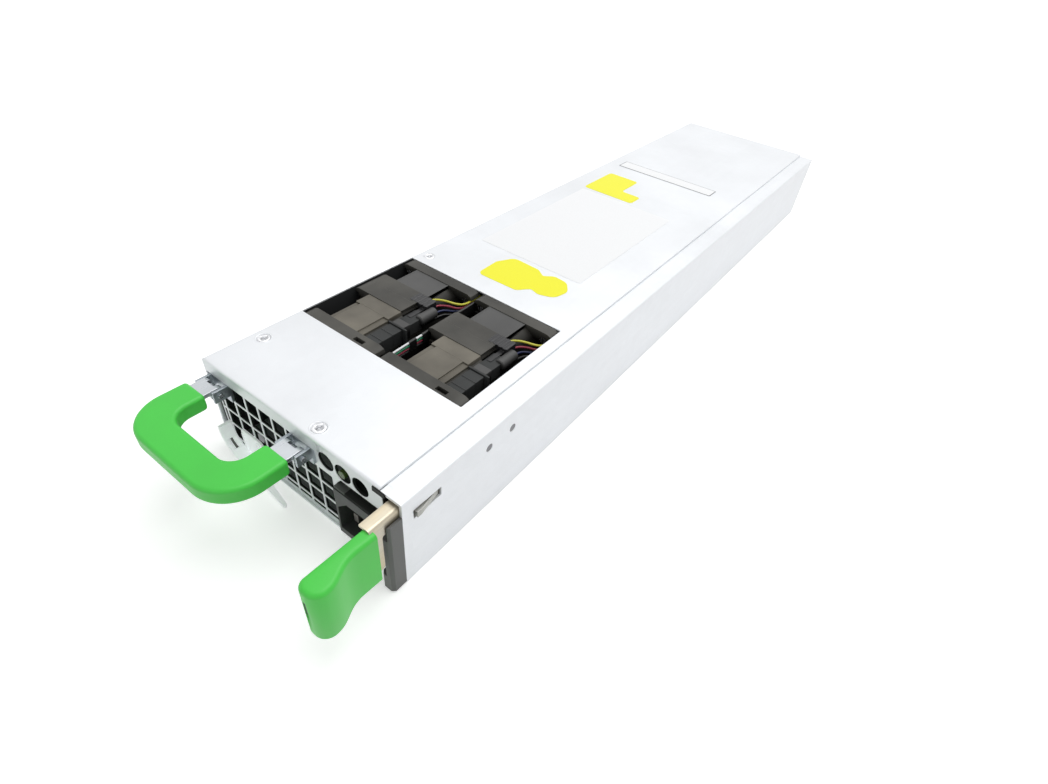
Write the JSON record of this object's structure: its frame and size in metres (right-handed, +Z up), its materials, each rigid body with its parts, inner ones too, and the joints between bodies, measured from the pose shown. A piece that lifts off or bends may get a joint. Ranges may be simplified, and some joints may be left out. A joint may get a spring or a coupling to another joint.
{
  "type": "hot swap server power supply",
  "caption": "Slim hot swap power supply: steel case, paired fans, folding green handle, thumb latch, mains inlet, edge connector.",
  "frame": {"origin": "middle of the case's underside, where it rests in its bay", "axes": "+Y from the fan end with the handle to the connector end, +Z up out of the cover, +X to the side with the latch"},
  "size_m": [0.0989, 0.4397, 0.04],
  "materials": {
    "case steel": "zinc-coated sheet, satin",
    "zinc steel": "zinc-coated strap",
    "yellow zinc": "yellow chromate on spring steel",
    "steel": "satin",
    "green plastic": "moulded, semi-gloss",
    "black plastic": "fine texture",
    "grey plastic": "fine texture",
    "nylon": "translucent natural nylon",
    "board": "solder-masked laminate",
    "copper": "enamelled winding",
    "brass": "plated contact",
    "aluminium": "satin extrusion",
    "wire": "coloured wire insulation",
    "mains wire": "brown, blue and green wire insulation",
    "film": "insulating sheet",
    "light": "tinted light body",
    "blue can": "sleeved can",
    "yellow film": "moulded box",
    "epoxy": "moulded package"
  },
  "bodies": {
    "case": {"ac_inlet": "black plastic", "ac_wires": "mains wire", "base_tray": "case steel", "board_screws": "steel", "board_standoffs": "steel", "bridge_rectifier": "epoxy", "bulk_capacitors": "blue can", "control_board": "board", "cord_clip": "nylon", "cover_screws": "steel", "emi_chokes": "copper", "fan_bearings": "brass", "fan_bulkhead": "case steel", "fan_headers": "nylon", "fan_joint_clips": "black plastic", "fan_left_front_frame": "grey plastic", "fan_left_leads": "wire", "fan_left_rear_frame": "grey plastic", "fan_right_front_frame": "grey plastic", "fan_right_leads": "wire", "fan_right_rear_frame": "grey plastic", "fan_screws": "steel", "fan_stators": "copper", "front_bezel": "black plastic", "front_grille": "case steel", "handle_brackets": "zinc steel", "handle_pins": "steel", "handle_springs": "steel", "heatsinks": "aluminium", "inlet_pins": "brass", "insulation_sheet": "film", "latch_rivets": "steel", "latch_root": "yellow zinc", "led_board": "board", "main_board": "board", "main_transformer": "yellow film", "output_capacitors": "blue can", "output_connector": "black plastic", "output_contacts": "brass", "output_inductor": "copper", "pfc_choke": "copper", "power_transistors": "epoxy", "rear_panel": "case steel", "signal_wires": "wire", "status_led": "light", "top_cover": "case steel", "x_capacitors": "yellow film"},
    "handle": {"handle_bar": "zinc steel", "handle_grip": "green plastic"},
    "latch": {"latch_spring": "yellow zinc", "latch_tooth": "yellow zinc", "latch_grip": "green plastic"},
    "left_front_rotor": {"fan_left_front_rotor": "black plastic", "fan_left_front_shaft": "steel"},
    "left_rear_rotor": {"fan_left_rear_rotor": "black plastic", "fan_left_rear_shaft": "steel"},
    "right_front_rotor": {"fan_right_front_rotor": "black plastic", "fan_right_front_shaft": "steel"},
    "right_rear_rotor": {"fan_right_rear_rotor": "black plastic", "fan_right_rear_shaft": "steel"}
  },
  "joints": [
    {"name": "handle_fold", "type": "hinge", "parent": "case", "child": "handle", "pos_m": [-0.01835, -0.2032, 0.0323], "axis": [1, 0, 0], "range_deg": [0, 60], "stiffness_Nm_per_rad": 0.02, "springref_deg": -28.65},
    {"name": "latch_press", "type": "hinge", "parent": "case", "child": "latch", "pos_m": [0.046, -0.1654, 0.031], "axis": [0, 0, -1], "range_deg": [0, 5], "stiffness_Nm_per_rad": 2},
    {"name": "left_front_spin", "type": "hinge", "parent": "case", "child": "left_front_rotor", "pos_m": [-0.02685, -0.1392, 0.02], "axis": [0, 1, 0], "continuous": true},
    {"name": "left_rear_spin", "type": "hinge", "parent": "case", "child": "left_rear_rotor", "pos_m": [-0.02685, -0.1158, 0.02], "axis": [0, 1, 0], "continuous": true},
    {"name": "right_front_spin", "type": "hinge", "parent": "case", "child": "right_front_rotor", "pos_m": [0.01395, -0.1392, 0.02], "axis": [0, 1, 0], "continuous": true},
    {"name": "right_rear_spin", "type": "hinge", "parent": "case", "child": "right_rear_rotor", "pos_m": [0.01395, -0.1158, 0.02], "axis": [0, 1, 0], "continuous": true}
  ]
}
